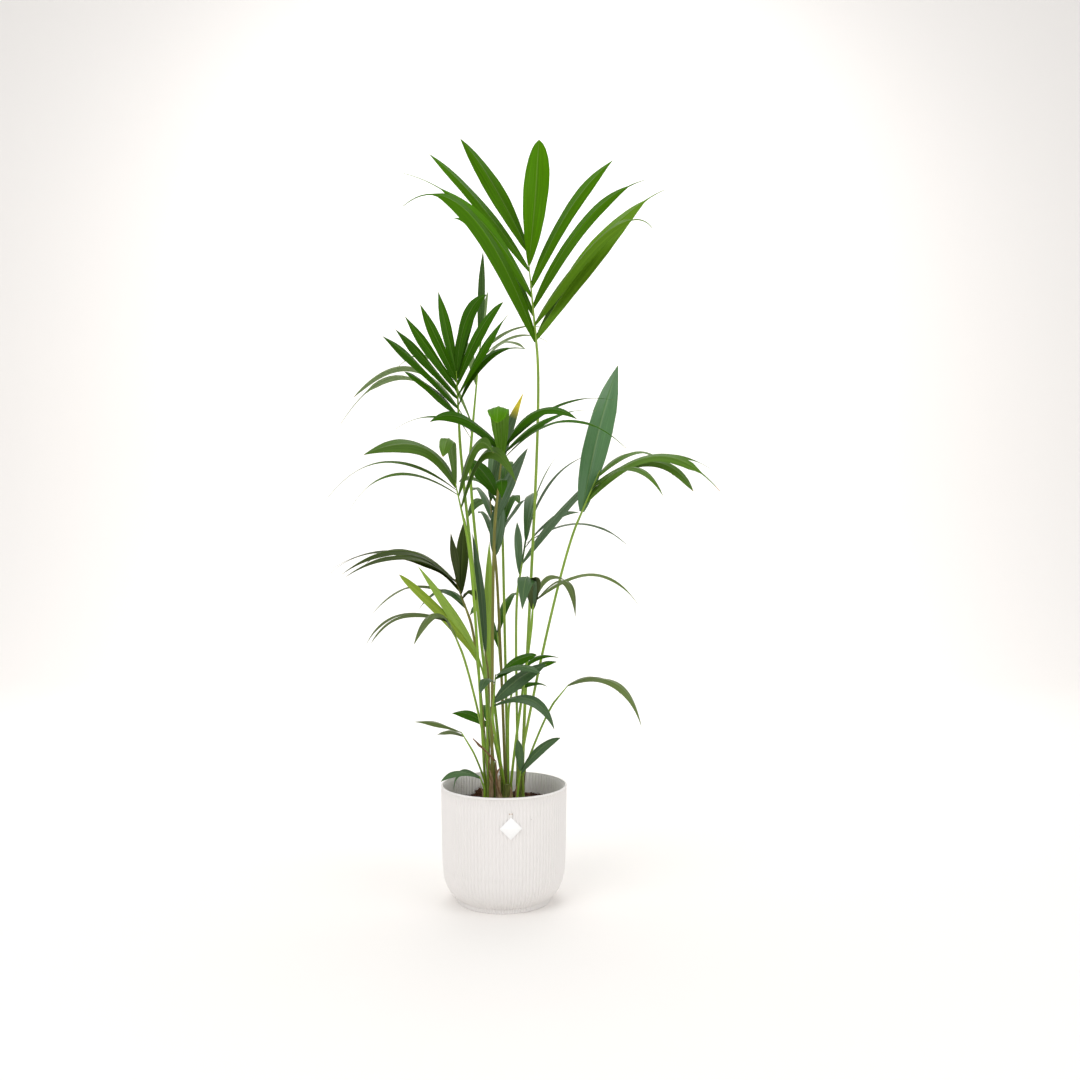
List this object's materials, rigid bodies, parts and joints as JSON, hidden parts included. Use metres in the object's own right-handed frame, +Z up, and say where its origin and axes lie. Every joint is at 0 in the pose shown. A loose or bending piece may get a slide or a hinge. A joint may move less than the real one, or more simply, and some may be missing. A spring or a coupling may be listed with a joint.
{
  "type": "potted kentia palm",
  "caption": "Tall feather-leaved house palm: a clump of slender stalks with arching fronds of long pointed leaflets, in a round white ribbed pot.",
  "frame": {"origin": "centre of the pot's flat underside, where it stands", "axes": "+Z up along the pot's axis and the palm's height, -Y towards the side the palm is looked at from, +X to that viewer's right"},
  "size_m": [0.7152, 0.59, 1.3591],
  "materials": {
    "pot": "warm white moulded plastic with fine upright ribs",
    "soil": "damp dark red-brown bark and coir compost",
    "tag": "blank white card",
    "stem": "dry fibrous leaf sheaths over green",
    "stalk": "smooth living green stalk",
    "leaf": "satin green palm leaflets, paler beneath"
  },
  "bodies": {
    "root": {"blade_back_high": "leaf", "blade_back_low": "leaf", "blade_back_short": "leaf", "blade_centre": "leaf", "blade_centre_back": "leaf", "blade_crown": "leaf", "blade_curled": "leaf", "blade_dark_spear": "leaf", "blade_left": "leaf", "blade_left_arch": "leaf", "blade_left_low": "leaf", "blade_left_short": "leaf", "blade_low_centre": "leaf", "blade_low_front": "leaf", "blade_pale_spear": "leaf", "blade_right": "leaf", "blade_right_arch": "leaf", "blade_right_back": "leaf", "blade_rim_left": "leaf", "blade_rim_right": "leaf", "blade_upper_back": "leaf", "blade_upper_left": "leaf", "blade_young": "leaf", "pot": "pot", "soil": "soil", "stalk_back_high": "stalk", "stalk_back_low": "stalk", "stalk_back_short": "stalk", "stalk_centre": "stalk", "stalk_centre_back": "stalk", "stalk_crown": "stalk", "stalk_curled": "stalk", "stalk_dark_spear": "stalk", "stalk_left": "stalk", "stalk_left_arch": "stalk", "stalk_left_low": "stalk", "stalk_left_short": "stalk", "stalk_low_centre": "stalk", "stalk_low_front": "stalk", "stalk_pale_spear": "stalk", "stalk_right": "stalk", "stalk_right_arch": "stalk", "stalk_right_back": "stalk", "stalk_rim_left": "stalk", "stalk_rim_right": "stalk", "stalk_upper_back": "stalk", "stalk_upper_left": "stalk", "stalk_young": "stalk", "stem_back": "stem", "stem_front": "stem", "stem_left": "stem", "stem_left_front": "stem", "stem_right": "stem", "tag": "tag"}
  },
  "joints": []
}
